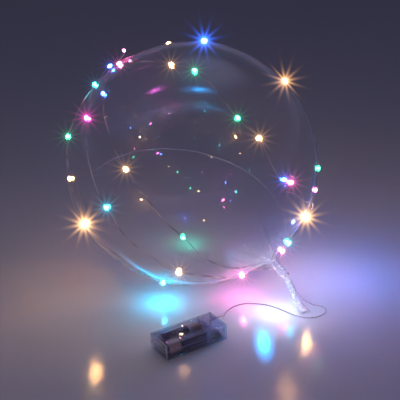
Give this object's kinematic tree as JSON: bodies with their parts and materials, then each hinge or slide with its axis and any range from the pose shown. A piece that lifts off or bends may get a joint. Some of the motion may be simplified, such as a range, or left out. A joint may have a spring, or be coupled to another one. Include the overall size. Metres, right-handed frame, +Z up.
{
  "type": "clear bubble balloon with a string of lights",
  "caption": "Clear round film balloon with a gathered, tied neck and twisted tail, wound with a thin wire of small coloured lamps and joined by a lead to a clear battery box.",
  "frame": {"origin": "on the floor, at the middle of the flat spot that the balloon rests on", "axes": "+Z up; the battery box lies towards -Y; the neck and its tail point to +X, -Y"},
  "size_m": [0.2824, 0.3372, 0.2687],
  "materials": {
    "clear_film": "clear stretch film, glossy",
    "copper_wire": "thin lacquered copper wire",
    "lacquered_lead": "lacquered twin lead",
    "clear_plastic": "clear moulded polystyrene, glossy",
    "nickel_plate": "nickel-plated spring steel",
    "cell_wrapper": "dark shrink sleeve, plain",
    "board": "satin board",
    "dark_plastic": "moulded black plastic",
    "resistor_body": "lacquered tan body",
    "warm_bulb": "clear resin drop over a lit diode",
    "blue_bulb": "clear resin drop over a lit diode",
    "green_bulb": "clear resin drop over a lit diode",
    "pink_bulb": "clear resin drop over a lit diode",
    "magenta_bulb": "clear resin drop over a lit diode",
    "cyan_bulb": "clear resin drop over a lit diode"
  },
  "bodies": {
    "root": {"balloon": "clear_film", "light_wire": "copper_wire", "lead": "lacquered_lead", "battery_case": "clear_plastic", "battery_lid": "clear_plastic", "bridge_plate": "nickel_plate", "minus_plate": "nickel_plate", "plus_plate": "nickel_plate", "cell_spring_1": "nickel_plate", "cell_spring_2": "nickel_plate", "cell_1": "cell_wrapper", "cell_2": "cell_wrapper", "circuit_board": "board", "switch_body": "dark_plastic", "resistor": "resistor_body", "bulb_01": "pink_bulb", "bulb_02": "cyan_bulb", "bulb_03": "warm_bulb", "bulb_04": "pink_bulb", "bulb_05": "blue_bulb", "bulb_06": "warm_bulb", "bulb_07": "green_bulb", "bulb_08": "green_bulb", "bulb_09": "warm_bulb", "bulb_10": "pink_bulb", "bulb_11": "blue_bulb", "bulb_12": "warm_bulb", "bulb_13": "green_bulb", "bulb_14": "pink_bulb", "bulb_15": "warm_bulb", "bulb_16": "cyan_bulb", "bulb_17": "magenta_bulb", "bulb_18": "cyan_bulb", "bulb_19": "blue_bulb", "bulb_20": "warm_bulb", "bulb_21": "blue_bulb", "bulb_22": "warm_bulb", "bulb_23": "green_bulb", "bulb_24": "pink_bulb", "bulb_25": "blue_bulb", "bulb_26": "cyan_bulb", "bulb_27": "warm_bulb", "bulb_28": "warm_bulb", "bulb_29": "green_bulb", "bulb_30": "pink_bulb"}
  },
  "joints": []
}
